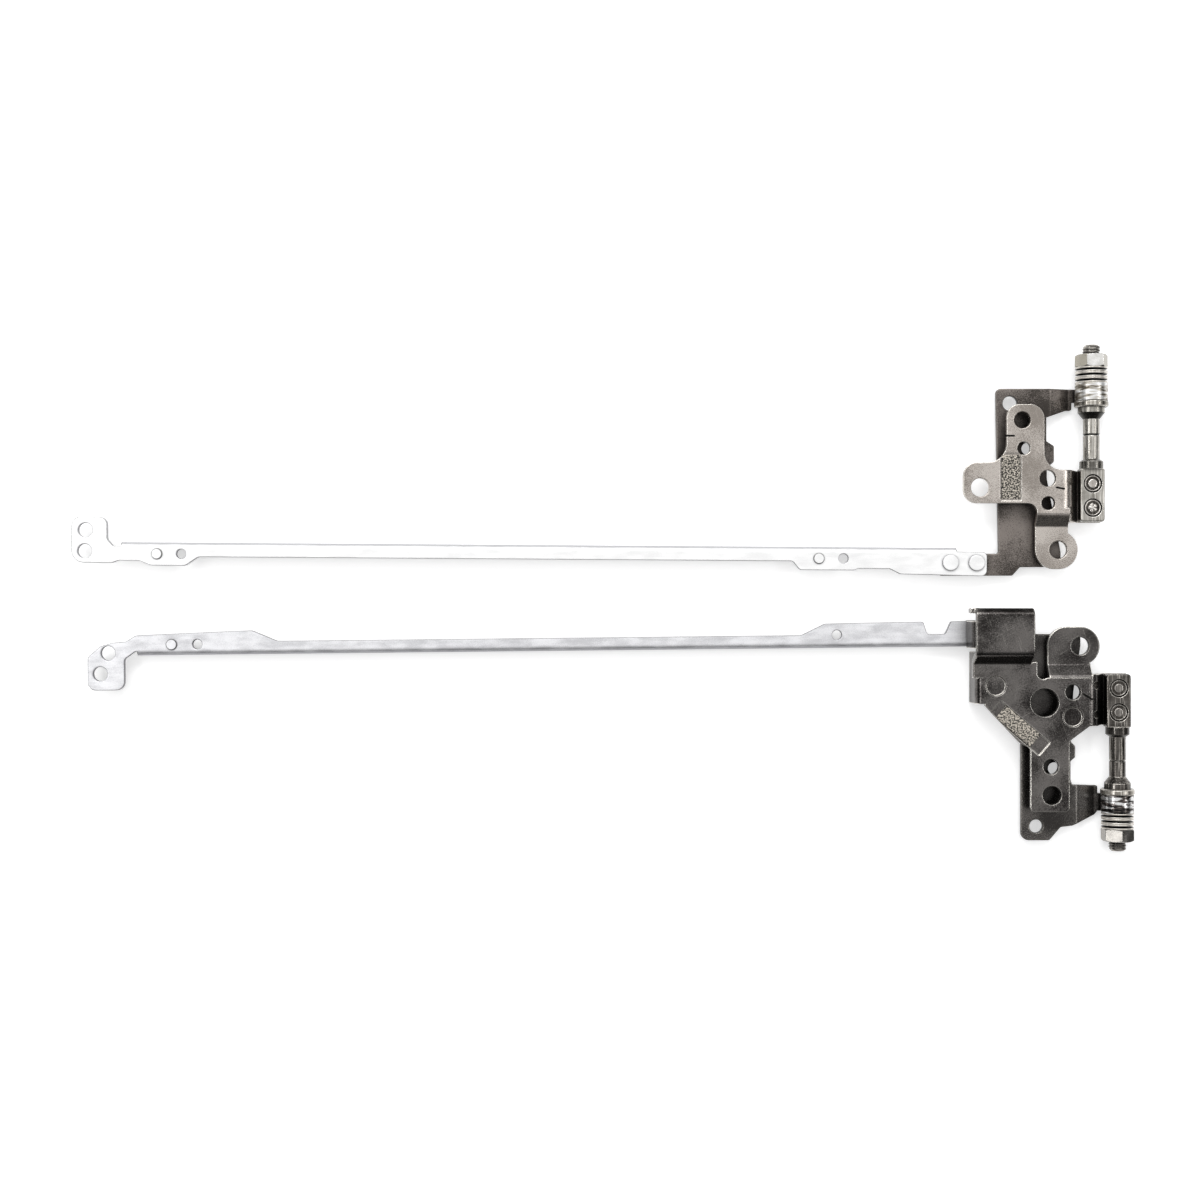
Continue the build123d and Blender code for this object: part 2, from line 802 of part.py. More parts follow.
def make_right_base_bracket(hinge):
    """Plate with a down flange, a lowered ear, and a hood over the arm's rivets."""
    with BuildPart() as bracket:
        add_tab(hinge, right_neck_right, right_ear_step)
        blank(hinge, hinge.level(base_bottom), base_sheet, right_base_outline)
        step_end = right_ear_step - 2.6
        neck = (right_neck_left, right_neck_right)
        add_step(
            hinge, right_neck_left, right_neck_right,
            right_ear_step, step_end, plate_middle, ear_middle,
        )
        add_ear(hinge, right_ear_u, right_lobe_u, neck, step_end)
        strip = hinge.lengthwise(hood_left)
        bent_strip(
            strip,
            [
                (right_ear_step, plate_middle),
                (hood_step, plate_middle),
                (hood_step - 2.0, plate_middle + hood_rise),
                (hood_far + base_sheet / 2, plate_middle + hood_rise),
                (hood_far + base_sheet / 2, hood_skirt - axis_height),
            ],
            base_sheet,
            bend_radius,
            hinge.side * (hood_right - hood_left),
        )
        bent_strip(
            hinge.section(hood_wall_far),
            [
                (hood_left + 4, plate_middle + hood_rise),
                (hood_left - 0.1, plate_middle + hood_rise),
                (hood_left - 0.4, hood_skirt - axis_height),
            ],
            base_sheet,
            bend_radius,
            -hinge.side * (hood_wall_near - hood_wall_far),
        )
        bent_strip(
            hinge.section(flange_far),
            [
                (flange_start + seat_gap, plate_middle),
                (plate_left, plate_middle),
                (plate_left - flange_lean, flange_foot - axis_height),
            ],
            base_sheet,
            bend_radius,
            -hinge.side * (flange_near - flange_far),
        )
        with BuildSketch(hinge.level(base_top)) as lug:
            with Locations((hood_left - hood_lug, hood_far)):
                Rectangle(2 * hood_lug, base_sheet, align=(Align.MIN, Align.MIN))
        extrude(lug.sketch, amount=hinge.side * (hood_rise - bend_radius))
        slot_start = right_ear_step - slot_width / 2 + slot_bite
        with BuildSketch(hinge.level(ear_bottom)) as slot:
            with Locations((slot_u, slot_start)):
                Circle(slot_width / 2)
                Rectangle(slot_width, slot_start - hood_far, align=(Align.CENTER, Align.MAX))
        extrude(slot.sketch, amount=hinge.side * 3 * hood_rise, mode=Mode.SUBTRACT)
        coin_pocket(hinge, right_pocket_centre, right_pocket_length, right_pocket_width, pad_turn)
        drill(hinge, base_bottom, right_base_holes)
        drill(hinge, ear_bottom, [(right_ear_u, ear_v, ear_screw_radius)])
        recess = hinge.level(base_top - recess_depth)
        for u, v, radius in right_recesses:
            round_hole(hinge, recess, radius, recess_depth, [(u, v)])
        roll_rims(bracket, base_top + hood_rise, whole=True)
        roll_rims(bracket, base_top)
        roll_rims(bracket, ear_bottom + base_sheet)
        cut_rivet_seats(hinge)
    hinge.finish(bracket, "base_bracket")


left_rivet = (left_rivet_u, left_rivet_v)
right_rivet = (right_rivet_u, right_rivet_v)
make_display_bracket(
    left, left_display_outline, (left_strap_root_inner, 2.8), 3.0,
    left_display_holes, left_rivet, left_arm_turn,
)
make_display_bracket(
    right, right_display_outline, (right_strap_root_inner, 6.7), 4.5,
    right_display_holes, right_rivet, right_arm_turn,
)
make_arm(
    left, left_rivet, left_arm_turn, left_arm_outline, left_flange,
    left_lid_screws, left_panel_holes, left_studs,
)
make_arm(
    right, right_rivet, right_arm_turn, right_arm_outline, right_flange,
    right_lid_screws, right_panel_holes, right_studs,
)
make_arm_rivets(left, left_rivet, left_arm_turn)
make_arm_rivets(right, right_rivet, right_arm_turn)
make_left_base_bracket(left)
make_right_base_bracket(right)
make_ground_pad(left, left_pad_centre, left_pad_length, left_pad_width, 90)
make_ground_pad(right, right_pad_centre, right_pad_length, right_pad_width, pad_turn)
for hinge, nut_turn in ((left, 0), (right, 30)):
    make_shaft(hinge)
    make_shaft_rivets(hinge)
    make_stop_washer(hinge)
    make_disc_springs(hinge)
    make_nut(hinge, nut_turn)
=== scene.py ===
import math

import bmesh
import bpy
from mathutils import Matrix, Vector


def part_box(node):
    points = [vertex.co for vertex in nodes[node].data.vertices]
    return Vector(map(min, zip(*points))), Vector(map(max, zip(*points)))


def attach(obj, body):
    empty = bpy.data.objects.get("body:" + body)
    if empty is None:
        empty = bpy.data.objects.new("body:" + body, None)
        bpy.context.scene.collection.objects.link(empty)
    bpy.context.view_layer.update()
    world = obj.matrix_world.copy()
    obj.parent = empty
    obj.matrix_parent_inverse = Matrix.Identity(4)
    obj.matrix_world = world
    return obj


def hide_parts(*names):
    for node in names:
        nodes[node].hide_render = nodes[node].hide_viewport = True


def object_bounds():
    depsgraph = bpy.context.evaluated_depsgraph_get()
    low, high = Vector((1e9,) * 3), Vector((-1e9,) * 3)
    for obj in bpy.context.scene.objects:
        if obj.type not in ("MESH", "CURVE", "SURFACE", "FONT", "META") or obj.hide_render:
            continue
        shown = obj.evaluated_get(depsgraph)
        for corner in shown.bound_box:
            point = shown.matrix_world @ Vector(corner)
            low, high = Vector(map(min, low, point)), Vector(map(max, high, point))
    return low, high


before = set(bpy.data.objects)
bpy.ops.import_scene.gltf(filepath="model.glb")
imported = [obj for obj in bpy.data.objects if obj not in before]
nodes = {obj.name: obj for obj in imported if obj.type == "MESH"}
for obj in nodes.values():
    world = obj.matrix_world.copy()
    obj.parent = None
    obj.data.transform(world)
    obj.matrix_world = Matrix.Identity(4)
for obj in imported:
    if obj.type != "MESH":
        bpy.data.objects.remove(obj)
cad_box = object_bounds()
MM = 0.001

# The camera hangs on a copy stand over the middle of the pair and looks straight down. The
# top of the picture is the side of the left hinge.
LENS_PLACE = (-0.58 * MM, -0.43 * MM, 354.6 * MM)
LENS_MM = 50
SENSOR_MM = 36

camera_data = bpy.data.cameras.new("copy_stand_camera")
camera_data.lens = LENS_MM
camera_data.sensor_width = SENSOR_MM
camera = bpy.data.objects.new("copy_stand_camera", camera_data)
camera.location = LENS_PLACE
bpy.context.collection.objects.link(camera)
bpy.context.scene.camera = camera
bpy.context.scene.view_settings.view_transform = "Standard"


# The pair lies on a sheet of white paper. The paper blows out to pure white for the lens and
# in reflections, and still takes the soft shadow of the metal.
def step(tree, kind, joins, **settings):
    """One step of a finish: a node with its settings, and what goes into its sockets."""
    node = tree.nodes.new("ShaderNode" + kind)
    for setting, value in settings.items():
        setattr(node, setting, value)
    for socket, value in joins.items():
        if isinstance(value, bpy.types.NodeSocket):
            tree.links.new(value, node.inputs[socket])
        else:
            node.inputs[socket].default_value = value
    return node


def sums(tree, operation, first, second, third=0.0):
    """One sum on values or sockets, such as MULTIPLY or MAXIMUM."""
    joins = {0: first, 1: second, 2: third}
    return step(tree, "Math", joins, operation=operation).outputs[0]


PAPER_SIZE = 3.0
PAPER_COLOUR = (0.8, 0.8, 0.8, 1)
PAPER_ROUGHNESS = 0.9
PAPER_GLOW = 0.48

paper_finish = bpy.data.materials.new("white_paper")
paper_finish.use_nodes = True
paper_tree = paper_finish.node_tree
paper_shader = paper_tree.nodes["Principled BSDF"]
paper_shader.inputs["Base Color"].default_value = PAPER_COLOUR
paper_shader.inputs["Roughness"].default_value = PAPER_ROUGHNESS
paper_shader.inputs["Emission Color"].default_value = (1, 1, 1, 1)
rays = step(paper_tree, "LightPath", {}).outputs
seen = sums(paper_tree, "MAXIMUM", rays["Is Camera Ray"], rays["Is Glossy Ray"])
seen = sums(paper_tree, "MAXIMUM", seen, rays["Is Transmission Ray"])
glow = sums(paper_tree, "MULTIPLY", seen, PAPER_GLOW)
paper_tree.links.new(glow, paper_shader.inputs["Emission Strength"])

half = PAPER_SIZE / 2
table_z = cad_box[0][2]
sheet = [(-half, -half, table_z), (half, -half, table_z), (half, half, table_z)]
sheet.append((-half, half, table_z))
paper_mesh = bpy.data.meshes.new("paper_sheet")
paper_mesh.from_pydata(sheet, [], [(0, 1, 2, 3)])
paper_mesh.materials.append(paper_finish)
paper = bpy.data.objects.new("paper_sheet", paper_mesh)
bpy.context.collection.objects.link(paper)

# The light is soft: a wide pale ceiling, a little brighter beyond the left hinge, falls off to
# a dim room at the sides. Three soft boxes, a large one beyond the pair and a narrow one at
# each end, give the bends and the turned parts their thin highlights.
CEILING = (-0.05, 0.3, 0.95)
CEILING_START = 0.25
CEILING_FULL = 0.85
CEILING_LEVEL = 0.88
DIM_LEVEL = 0.05
SOFT_BOXES = {
    "far_soft_box": ((-0.1, 0.68, 0.75), (1.0, 0.42), 5.2),
    "left_soft_box": ((-0.6, 0.0, 0.72), (0.5, 0.12), 1.2),
    "right_soft_box": ((0.72, 0.0, 0.7), (0.5, 0.12), 1.2),
}

world = bpy.data.worlds.new("soft_room")
world.use_nodes = True
sky = world.node_tree
direction = step(sky, "TexCoord", {}).outputs["Generated"]
overhead = step(sky, "VectorMath", {0: direction, 1: CEILING}, operation="DOT_PRODUCT")
levels = {
    "Value": overhead.outputs["Value"],
    "From Min": CEILING_START,
    "From Max": CEILING_FULL,
    "To Min": DIM_LEVEL,
    "To Max": CEILING_LEVEL,
}
level = step(sky, "MapRange", levels, interpolation_type="SMOOTHSTEP").outputs["Result"]
sky.links.new(level, sky.nodes["Background"].inputs["Strength"])
sky.nodes["Background"].inputs["Color"].default_value = (1, 1, 1, 1)
bpy.context.scene.world = world

for box_name, (place, size, watts) in SOFT_BOXES.items():
    lamp = bpy.data.lights.new(box_name, "AREA")
    lamp.shape = "RECTANGLE"
    lamp.size, lamp.size_y = size
    lamp.energy = watts
    soft_box = bpy.data.objects.new(box_name, lamp)
    soft_box.location = place
    soft_box.rotation_euler = Vector(place).to_track_quat("Z", "Y").to_euler()
    bpy.context.collection.objects.link(soft_box)


# Each display bracket is stamped from steel sheet and nickel plated. The left one has the warm
# satin plating of its base bracket, painted darker as shade where it lies under that bracket,
# and the right one is nearly black. Its strap rolls round the shaft into the knuckle, which is
# rubbed bright there and smeared with grease.
AXIS_HEIGHT = 3.5 * MM
AXIS_X = {"left": 102.9 * MM, "right": 108.4 * MM}
KNUCKLE_REACH = 3.6 * MM
SMEAR_WIDTH = 0.55 * MM
SMEAR_STRETCH = (5, 1, 5)
SMEAR_SWIRL = 0.4
SMEAR_HEIGHT = 4.0
LEFT_GREASE = ((0.36, (0.1, 0.085, 0.065, 1)), (0.45, (0.45, 0.42, 0.37, 1)), (0.6, 0.82))
RIGHT_GREASE = ((0.42, 0.01), (0.5, (0.13, 0.11, 0.1, 1)), (0.57, 0.75))
# The left leaf has its base bracket's plating, painted darker for the shade under that
# bracket.
LEFT_LEAF_PAINTED_SHADE_TONES = ((0.05, 0.043, 0.038, 1), (0.23, 0.203, 0.185, 1), (0.5, 0.46, 0.42, 1))
RIGHT_LEAF_TONES = ((0.035, 0.032, 0.03, 1), (0.12, 0.112, 0.105, 1), (0.6, 0.57, 0.52, 1))
LEAF_SHADE_REACH = 8 * MM
CLOUD_WIDTH = 9 * MM
CLOUD_SHARE = 0.6
CLOUD_STOPS = (0.43, 0.57)
SPECKLE_WIDTH = 0.2 * MM
SPECKLE_DEPTH = 0.03 * MM
DULL_SPECKS = (0.3, 0.7)
DULL_RANGE = (-0.06, 0.1)
HAIR_WIDTH = 0.12 * MM
HAIR_STRETCH = (45, 1, 1)
HAIR_TURNS = (0.5, 1.9)
HAIR_STOPS = ((0.69, 0.0), (0.77, 0.25))
RIM_STOPS = ((0.93, 1.0), (0.995, 0.0))
RIM_SAMPLES = 12
BUMP_STRENGTH = 0.3
SHADE_START = 0.2
SHADE_LIT = 0.9
SHADE_SAMPLES = 12


def new_finish(name):
    """A new finish: its material, its node tree and its shader."""
    material = bpy.data.materials.new(name)
    material.use_nodes = True
    tree = material.node_tree
    return material, tree, tree.nodes["Principled BSDF"]


def grain(tree, size, detail, stretch=(1, 1, 1), turn=0.0, swirl=0.0):
    """Noise fixed to the piece, its spots about this wide and longer where stretched."""
    joins = {
        "Vector": step(tree, "TexCoord", {}).outputs["Object"],
        "Rotation": (0, 0, turn),
        "Scale": [size * longer for longer in stretch],
    }
    place = step(tree, "Mapping", joins, vector_type="TEXTURE")
    joins = {
        "Vector": place.outputs["Vector"],
        "Scale": 1.0,
        "Detail": detail,
        "Distortion": swirl,
    }
    return step(tree, "TexNoise", joins).outputs["Fac"]


def tones(tree, value, stops):
    """Greys or colours laid along a value: stops are (position, tone)."""
    stops = list(stops)
    ramp = step(tree, "ValToRGB", {"Fac": value})
    elements = ramp.color_ramp.elements
    while len(elements) < len(stops):
        elements.new(0.5)
    for element, (position, tone) in zip(elements, stops):
        element.position = position
        element.color = tone if hasattr(tone, "__len__") else (tone, tone, tone, 1)
    return ramp.outputs["Color"]


def over(tree, mask, below, above, way="MIX"):
    """One tone over another where the mask is 1."""
    joins = {0: mask, 6: below, 7: above}
    return step(tree, "Mix", joins, data_type="RGBA", blend_type=way).outputs[2]


def painted_rims(tree, colour, rim, radius):
    """The colour with the rim's colour painted along the edges, light for painted highlight
    and dark for painted shade, and a normal with rounded edges.
    """
    rounded = step(tree, "Bevel", {"Radius": radius}, samples=RIM_SAMPLES).outputs["Normal"]
    flat = step(tree, "NewGeometry", {}).outputs["True Normal"]
    turned = step(tree, "VectorMath", {0: rounded, 1: flat}, operation="DOT_PRODUCT")
    edges = tones(tree, turned.outputs["Value"], RIM_STOPS)
    return over(tree, edges, colour, rim), rounded


def shaded(tree, colour, reach, darkest, lit=SHADE_LIT):
    """The colour with painted shade, darker where pieces meet or hang over each other within
    this reach.
    """
    joins = {"Distance": reach}
    open_sky = step(tree, "AmbientOcclusion", joins, samples=SHADE_SAMPLES).outputs["AO"]
    shade = tones(tree, open_sky, ((SHADE_START, darkest), (lit, 1.0)))
    return over(tree, 1.0, colour, shade, "MULTIPLY")


def raise_grain(tree, shader, height, depth, normal):
    """Bumps of this depth on the finish, over a given normal."""
    joins = {"Height": height, "Strength": BUMP_STRENGTH, "Distance": depth, "Normal": normal}
    bumps = step(tree, "Bump", joins)
    tree.links.new(bumps.outputs["Normal"], shader.inputs["Normal"])


def finish_metal(tree, shader, colour, metallic, patches, rough_stops):
    """Colour and metal on the shader, with a roughness that changes along its patches."""
    tree.links.new(colour, shader.inputs["Base Color"])
    shader.inputs["Metallic"].default_value = metallic
    tree.links.new(tones(tree, patches, rough_stops), shader.inputs["Roughness"])


def plate(name, plating, reach, darkest, rim_width, metallic, roughness, extra=None):
    """Plated sheet: clouds, fine speckle and hairline scratches, with painted highlight on its
    rims and painted shade where pieces meet.
    """
    dark, light, rim = plating
    material, tree, shader = new_finish(name)
    fine = grain(tree, SPECKLE_WIDTH, detail=2)
    clouds = grain(tree, CLOUD_WIDTH, detail=7)
    speckle = sums(tree, "MULTIPLY", fine, 1 - CLOUD_SHARE)
    mottle = sums(tree, "MULTIPLY_ADD", clouds, CLOUD_SHARE, speckle)
    colour = tones(tree, mottle, zip(CLOUD_STOPS, (dark, light)))
    for turn in HAIR_TURNS:
        hairs = grain(tree, HAIR_WIDTH, detail=1, stretch=HAIR_STRETCH, turn=turn)
        colour = over(tree, tones(tree, hairs, HAIR_STOPS), colour, rim)
    colour, rounded = painted_rims(tree, colour, rim, rim_width)
    colour = shaded(tree, colour, reach, darkest)
    height = fine
    if extra is not None:
        colour, height = extra(tree, colour, fine)
    rough_stops = [(stop, roughness + more) for stop, more in zip(DULL_SPECKS, DULL_RANGE)]
    finish_metal(tree, shader, colour, metallic, fine, rough_stops)
    raise_grain(tree, shader, height, SPECKLE_DEPTH, rounded)
    return material


def greased_knuckle(side, stops):
    """What the knuckle adds to its plate's finish: wrinkled grease round the shaft."""
    def add_grease(tree, colour, fine):
        place = step(tree, "TexCoord", {}).outputs["Object"]
        middle = (AXIS_X[side], 0, AXIS_HEIGHT)
        arm = step(tree, "VectorMath", {0: place, 1: middle}, operation="SUBTRACT").outputs[0]
        arm = step(tree, "VectorMath", {0: arm, 1: (1, 0, 1)}, operation="MULTIPLY").outputs[0]
        reach = step(tree, "VectorMath", {0: arm}, operation="LENGTH").outputs["Value"]
        near = sums(tree, "LESS_THAN", reach, KNUCKLE_REACH)
        smear = grain(tree, SMEAR_WIDTH, detail=2, stretch=SMEAR_STRETCH, swirl=SMEAR_SWIRL)
        wrinkles = sums(tree, "MULTIPLY", smear, near)
        height = sums(tree, "MULTIPLY_ADD", wrinkles, SMEAR_HEIGHT, fine)
        return over(tree, near, colour, tones(tree, smear, stops)), height
    return add_grease


def dress(material, slot, *names):
    """The finish goes on these CAD pieces. The slot is not used."""
    for name in names:
        piece = nodes[name]
        piece.data.materials.clear()
        piece.data.materials.append(material)


left_leaf_shaded_plating = plate(
    "left_leaf_satin_nickel_painted_shade",
    LEFT_LEAF_PAINTED_SHADE_TONES,
    reach=LEAF_SHADE_REACH,
    darkest=0.07,
    rim_width=0.3 * MM,
    metallic=0.85,
    roughness=0.33,
    extra=greased_knuckle("left", LEFT_GREASE),
)
right_leaf_plating = plate(
    "right_leaf_dark_nickel",
    RIGHT_LEAF_TONES,
    reach=LEAF_SHADE_REACH,
    darkest=0.22,
    rim_width=0.4 * MM,
    metallic=0.85,
    roughness=0.22,
    extra=greased_knuckle("right", RIGHT_GREASE),
)
dress(left_leaf_shaded_plating, "left_bracket", "left_display_bracket")
dress(right_leaf_plating, "right_bracket", "right_display_bracket")


# The arms run up the height of the lid. They are strips of zinc-coated steel, pale and soft:
# nearly white on the left hinge, and greyer and mottled on the right one. Their edges and
# bends are painted darker, as painted shade.
LEFT_ZINC = ((0.88, 0.88, 0.88, 1), (0.98, 0.98, 0.98, 1), (0.2, 0.2, 0.2, 1))
RIGHT_ZINC = ((0.6, 0.6, 0.62, 1), (0.84, 0.84, 0.86, 1), (0.16, 0.16, 0.16, 1))
BEND_SHADE = (0.5, 0.5, 0.52, 1)
BEND_LEAN = (0.55, 0.97)
SPANGLE_WIDTH = 1.6 * MM
SPANGLE_STRETCH = (2.5, 1, 1)
SPANGLE_SHARE = 0.6
SPANGLE_STOPS = (0.38, 0.6)
ZINC_SPECKLE = 0.18 * MM
ZINC_SPECKLE_DEPTH = 0.02 * MM
ZINC_RIM = 0.3 * MM
DRAWN_WIDTH = 0.09 * MM
DRAWN_STRETCH = (90, 1, 1)
DRAWN_STOPS = ((0.62, 0.0), (0.74, 0.14))
DULL_SPANGLE = (0.35, 0.65)
SPANGLE_RANGE = (-0.07, 0.08)


def leaning(tree, steep, flat):
    """1 where a piece's own surface leans away from level, as on its bends, and 0 on flats."""
    own = step(tree, "TexCoord", {}).outputs["Normal"]
    upright = step(tree, "SeparateXYZ", {0: own}).outputs["Z"]
    return tones(tree, sums(tree, "ABSOLUTE", upright, 0.0), ((steep, 1.0), (flat, 0.0)))


def zinc(name, coat, reach, darkest, metallic, roughness):
    """Zinc coat: soft spangle, fine speckle and scratches drawn along the strip, with painted
    shade on its rims, on its bends and where pieces meet.
    """
    dark, light, rim = coat
    material, tree, shader = new_finish(name)
    fine = grain(tree, ZINC_SPECKLE, detail=2)
    spangle = grain(tree, SPANGLE_WIDTH, detail=4, stretch=SPANGLE_STRETCH)
    speckle = sums(tree, "MULTIPLY", fine, 1 - SPANGLE_SHARE)
    mottle = sums(tree, "MULTIPLY_ADD", spangle, SPANGLE_SHARE, speckle)
    colour = tones(tree, mottle, zip(SPANGLE_STOPS, (dark, light)))
    drawn = grain(tree, DRAWN_WIDTH, detail=2, stretch=DRAWN_STRETCH)
    colour = over(tree, tones(tree, drawn, DRAWN_STOPS), colour, rim)
    colour, rounded = painted_rims(tree, colour, rim, ZINC_RIM)
    # Painted shade on the bends, where the strip leans away from level.
    colour = over(tree, leaning(tree, *BEND_LEAN), colour, BEND_SHADE, "MULTIPLY")
    colour = shaded(tree, colour, reach, darkest)
    rough_stops = [(stop, roughness + more) for stop, more in zip(DULL_SPANGLE, SPANGLE_RANGE)]
    finish_metal(tree, shader, colour, metallic, spangle, rough_stops)
    raise_grain(tree, shader, fine, ZINC_SPECKLE_DEPTH, rounded)
    return material


left_zinc = zinc(
    "left_arm_zinc", LEFT_ZINC, reach=3 * MM, darkest=0.45, metallic=0.5, roughness=0.42
)
# The right arm's wide reach paints shade on it, darker towards the hood.
right_zinc = zinc(
    "right_arm_zinc", RIGHT_ZINC, reach=9 * MM, darkest=0.25, metallic=0.6, roughness=0.38
)
dress(left_zinc, "arm_zinc", "left_arm")
dress(right_zinc, "arm_zinc", "right_arm")

# Two steel rivets hold each arm to its bracket's tab. Their heads are pressed flat and take
# the arm's zinc, with a dark ring of shadow round them.
RIVET_ZINC = ((0.84, 0.84, 0.84, 1), (0.96, 0.96, 0.96, 1), (0.15, 0.15, 0.15, 1))

arm_rivet_zinc = zinc(
    "arm_rivet_zinc", RIVET_ZINC, reach=1.5 * MM, darkest=0.3, metallic=0.5, roughness=0.4
)
for side in ("left", "right"):
    dress(arm_rivet_zinc, "rivet_steel", f"{side}_arm_rivet_1", f"{side}_arm_rivet_2")


# Each shaft is one piece of turned steel, with journal, collars, cone, neck and a flat block.
# Faint rings from the cutting tool run round it and streaks run along it. Painted shade
# darkens its groove, its lower collar and the left one's cone.
FACE_Y = 41.4 * MM
# Painted shade lies in bands along each shaft: its lower collar, its groove and the left one's
# cone.
SHADE_BAND_START = 26.0 * MM
SHADE_BAND_REACH = 27.0 * MM
LOWER_COLLAR = (27.1 * MM, 29.2 * MM)
NECK_GROOVE = (34.05 * MM, 34.45 * MM)
CONE = (37.6 * MM, 38.95 * MM)
LEFT_SHADE_BANDS = ((LOWER_COLLAR, 0.45), (NECK_GROOVE, 0.12), (CONE, 0.12))
RIGHT_SHADE_BANDS = ((LOWER_COLLAR, 0.4), (NECK_GROOVE, 0.3))
LEFT_STEEL = ((0.24, 0.225, 0.2, 1), (0.52, 0.5, 0.46, 1), (0.88, 0.85, 0.8, 1))
RIGHT_STEEL = ((0.04, 0.036, 0.032, 1), (0.15, 0.138, 0.125, 1), (0.75, 0.71, 0.65, 1))
RING_WIDTH = 0.16 * MM
RING_STRETCH = (300, 1, 300)
RING_SHARE = 0.2
RING_HEIGHT = 0.6
STREAK_WIDTH = 0.3 * MM
STREAK_STRETCH = (1, 25, 1)
STREAK_SHARE = 0.45
STREAK_STOPS = (0.56, 0.66)
OIL_CLOUD = 2.5 * MM
OIL_CLOUD_SHARE = 0.35
STEEL_STOPS = (0.38, 0.62)
STEEL_SPECKLE = 0.2 * MM
STEEL_SPECKLE_DEPTH = 0.012 * MM
STEEL_RIM = 0.24 * MM
GAP_REACH = 1.6 * MM
SIDE_REACH = 7 * MM
SIDE_SHADE = 0.12
SIDE_LIT = 0.72
STEEL_METALLIC = 0.9
DULL_CLOUDS = (0.35, 0.65)
CLOUD_RANGE = (-0.08, 0.1)


def painted_shade_bands(tree, colour, shade_bands):
    """The colour, with painted shade in bands between these places along the shaft."""
    place = step(tree, "TexCoord", {}).outputs["Object"]
    along = sums(tree, "ABSOLUTE", step(tree, "SeparateXYZ", {0: place}).outputs["Y"], 0.0)
    along = sums(tree, "DIVIDE", sums(tree, "SUBTRACT", along, SHADE_BAND_START), SHADE_BAND_REACH)
    stops = [(0.0, 1.0)]
    for (low, high), tone in shade_bands:
        stops.append(((low - SHADE_BAND_START) / SHADE_BAND_REACH, tone))
        stops.append(((high - SHADE_BAND_START) / SHADE_BAND_REACH, 1.0))
    bands = tones(tree, along, stops)
    bands.node.color_ramp.interpolation = "CONSTANT"
    return over(tree, 1.0, colour, bands, "MULTIPLY")


def turned_steel(name, metal, roughness, darkest=0.35, wear=0.5, shade_bands=()):
    """Turned steel: faint rings, streaks drawn along it, clouds of oil, painted highlight on
    its rims, and painted shade in its gaps and where other pieces or the paper come near.
    """
    dark, light, rim = metal
    material, tree, shader = new_finish(name)
    rings = grain(tree, RING_WIDTH, detail=3, stretch=RING_STRETCH)
    clouds = grain(tree, OIL_CLOUD, detail=4)
    fine = grain(tree, STEEL_SPECKLE, detail=2)
    streaks = grain(tree, STREAK_WIDTH, detail=2, stretch=STREAK_STRETCH)
    mottle = sums(tree, "MULTIPLY", rings, RING_SHARE)
    mottle = sums(tree, "MULTIPLY_ADD", clouds, OIL_CLOUD_SHARE, mottle)
    mottle = sums(tree, "MULTIPLY_ADD", streaks, STREAK_SHARE, mottle)
    colour = tones(tree, mottle, zip(STEEL_STOPS, (dark, light)))
    worn = tones(tree, streaks, zip(STREAK_STOPS, (0.0, wear)))
    colour = over(tree, worn, colour, rim)
    colour, rounded = painted_rims(tree, colour, rim, STEEL_RIM)
    colour = shaded(tree, colour, GAP_REACH, darkest)
    colour = shaded(tree, colour, SIDE_REACH, SIDE_SHADE, SIDE_LIT)
    # Painted shade in bands along the shaft.
    if shade_bands:
        colour = painted_shade_bands(tree, colour, shade_bands)
    rough_stops = [(stop, roughness + more) for stop, more in zip(DULL_CLOUDS, CLOUD_RANGE)]
    finish_metal(tree, shader, colour, STEEL_METALLIC, clouds, rough_stops)
    height = sums(tree, "MULTIPLY_ADD", rings, RING_HEIGHT, fine)
    raise_grain(tree, shader, height, STEEL_SPECKLE_DEPTH, rounded)
    return material


left_turned_steel = turned_steel(
    "left_turned_steel", LEFT_STEEL, roughness=0.3, shade_bands=LEFT_SHADE_BANDS
)
right_turned_steel = turned_steel(
    "right_turned_steel", RIGHT_STEEL, roughness=0.24, shade_bands=RIGHT_SHADE_BANDS
)
dress(left_turned_steel, "shaft_steel", "left_shaft")
dress(right_turned_steel, "shaft_steel", "right_shaft")

# The thread stands out on each shaft's tip beyond its nut. It is rolled into the steel, runs
# out at both ends, and is dark with oil.
THREAD_START = 9.75 * MM
THREAD_END = 11.79 * MM
THREAD_PITCH = 0.6 * MM
THREAD_ROOT = 1.6 * MM
THREAD_CREST = 1.8 * MM
THREAD_SHARP = math.radians(30)
CREST_SHARE = 0.2
STEPS_ROUND = 40
RUN_OUT_STEPS = 8
RUN_OUT_LOWEST = 0.05
THREAD_STEEL = ((0.025, 0.023, 0.021, 1), (0.12, 0.11, 0.1, 1), (0.5, 0.47, 0.43, 1))


def band(form, first_loop, second_loop):
    """Faces between two closed loops of corners."""
    for number in range(len(first_loop)):
        after = (number + 1) % len(first_loop)
        corners = (first_loop[number], first_loop[after])
        form.faces.new((*corners, second_loop[after], second_loop[number]))


def new_piece(name, form, material, body, sharp_from=None):
    """A closed form as a piece of its own, in its finish, riding on a body."""
    bmesh.ops.recalc_face_normals(form, faces=form.faces)
    mesh = bpy.data.meshes.new(name)
    form.to_mesh(mesh)
    form.free()
    if sharp_from is not None:
        mesh.shade_smooth()
        mesh.set_sharp_from_angle(angle=sharp_from)
    mesh.materials.append(material)
    piece = bpy.data.objects.new(name, mesh)
    bpy.context.collection.objects.link(piece)
    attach(piece, body)
    return piece


